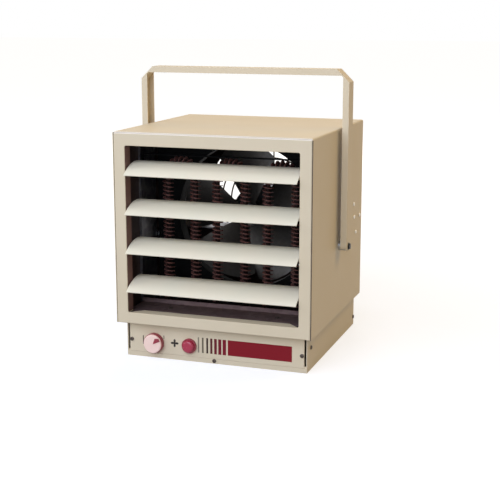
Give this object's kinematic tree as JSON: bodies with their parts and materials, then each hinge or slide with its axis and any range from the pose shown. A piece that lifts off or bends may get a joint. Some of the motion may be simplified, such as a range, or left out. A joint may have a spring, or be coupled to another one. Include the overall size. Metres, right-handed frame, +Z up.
{
  "type": "unit heater",
  "caption": "Box-shaped electric unit heater with adjustable louvers, finned elements, a fan, a control box with a thermostat knob and a swinging U-shaped bracket.",
  "frame": {"origin": "middle of the casing, on the underside of the control box", "axes": "+X to the right as seen from the front, +Y to the rear, +Z up; the louvers face -Y"},
  "size_m": [0.3792, 0.3458, 0.481],
  "materials": {
    "casing_paint": "satin almond paint",
    "louver_paint": "satin ivory paint",
    "bare_sheet": "bare aluminised sheet",
    "element_sheath": "heat-browned steel",
    "zinc": "zinc plated",
    "dark_steel": "blackened",
    "guard_wire": "painted wire",
    "fan_metal": "pressed aluminium",
    "motor_paint": "black enamel",
    "ceramic": "unglazed steatite",
    "brass": "plain",
    "dark_plastic": "moulded",
    "knob_red": "moulded red",
    "knob_cream": "moulded cream",
    "button_red": "translucent red"
  },
  "bodies": {
    "casing": {"casing_wrap": "casing_paint", "casing_base": "casing_paint", "front_frame": "casing_paint", "rear_panel": "casing_paint", "control_tray": "casing_paint", "control_cover": "casing_paint", "control_rear_plate": "casing_paint", "side_shield_left": "bare_sheet", "side_shield_right": "bare_sheet", "top_shield": "bare_sheet", "floor_plate": "bare_sheet", "element_rail": "bare_sheet", "fan_shroud": "bare_sheet", "shroud_ring": "bare_sheet", "motor_cradle": "bare_sheet", "motor_strap": "bare_sheet", "heating_element_left": "element_sheath", "heating_element_centre": "element_sheath", "heating_element_right": "element_sheath", "louver_pins": "zinc", "floor_screws": "zinc", "cradle_screws": "zinc", "strap_screws": "zinc", "guard_screws": "zinc", "tray_screws": "zinc", "cover_screws": "zinc", "pivot_washers": "zinc", "pivot_spacers": "zinc", "pivot_nuts": "zinc", "pivot_bolts": "dark_steel", "rear_guard": "guard_wire", "fan_motor": "motor_paint", "element_bushings": "ceramic", "element_terminals": "brass", "earth_lug": "brass", "thermostat_body": "dark_plastic", "button_switch": "dark_plastic", "contactor": "dark_plastic", "terminal_block": "dark_plastic", "limit_switch": "dark_plastic", "button_bezel": "button_red"},
    "bracket": {"bracket": "casing_paint"},
    "fan": {"fan_rotor": "fan_metal", "fan_nut": "zinc", "motor_shaft": "zinc"},
    "knob": {"knob_skirt": "knob_red", "knob_cap": "knob_cream", "knob_pointer": "knob_red", "thermostat_shaft": "zinc"},
    "button": {"button_cap": "button_red"},
    "louver_1": {"louver_1": "louver_paint"},
    "louver_2": {"louver_2": "louver_paint"},
    "louver_3": {"louver_3": "louver_paint"},
    "louver_4": {"louver_4": "louver_paint"}
  },
  "joints": [
    {"name": "bracket_tilt", "type": "hinge", "parent": "casing", "child": "bracket", "pos_m": [0, 0.005, 0.1825], "axis": [1, 0, 0], "range_deg": [-90, 90]},
    {"name": "louver_1_tilt", "type": "hinge", "parent": "casing", "child": "louver_1", "pos_m": [0, -0.153, 0.1256], "axis": [1, 0, 0], "range_deg": [-20, 40]},
    {"name": "louver_2_tilt", "type": "hinge", "parent": "casing", "child": "louver_2", "pos_m": [0, -0.153, 0.1908], "axis": [1, 0, 0], "range_deg": [-20, 40]},
    {"name": "louver_3_tilt", "type": "hinge", "parent": "casing", "child": "louver_3", "pos_m": [0, -0.153, 0.256], "axis": [1, 0, 0], "range_deg": [-20, 40]},
    {"name": "louver_4_tilt", "type": "hinge", "parent": "casing", "child": "louver_4", "pos_m": [0, -0.153, 0.3212], "axis": [1, 0, 0], "range_deg": [-20, 40]},
    {"name": "fan_spin", "type": "hinge", "parent": "casing", "child": "fan", "pos_m": [0, 0.035, 0.222], "axis": [0, 1, 0], "continuous": true},
    {"name": "thermostat_turn", "type": "hinge", "parent": "casing", "child": "knob", "pos_m": [-0.1085, -0.155, 0.0266], "axis": [0, -1, 0], "range_deg": [-85, 185]},
    {"name": "button_press", "type": "slide", "parent": "casing", "child": "button", "axis": [0, 1, 0], "range_m": [0, 0.003], "stiffness_N_per_m": 1000, "springref_m": -0.001}
  ]
}
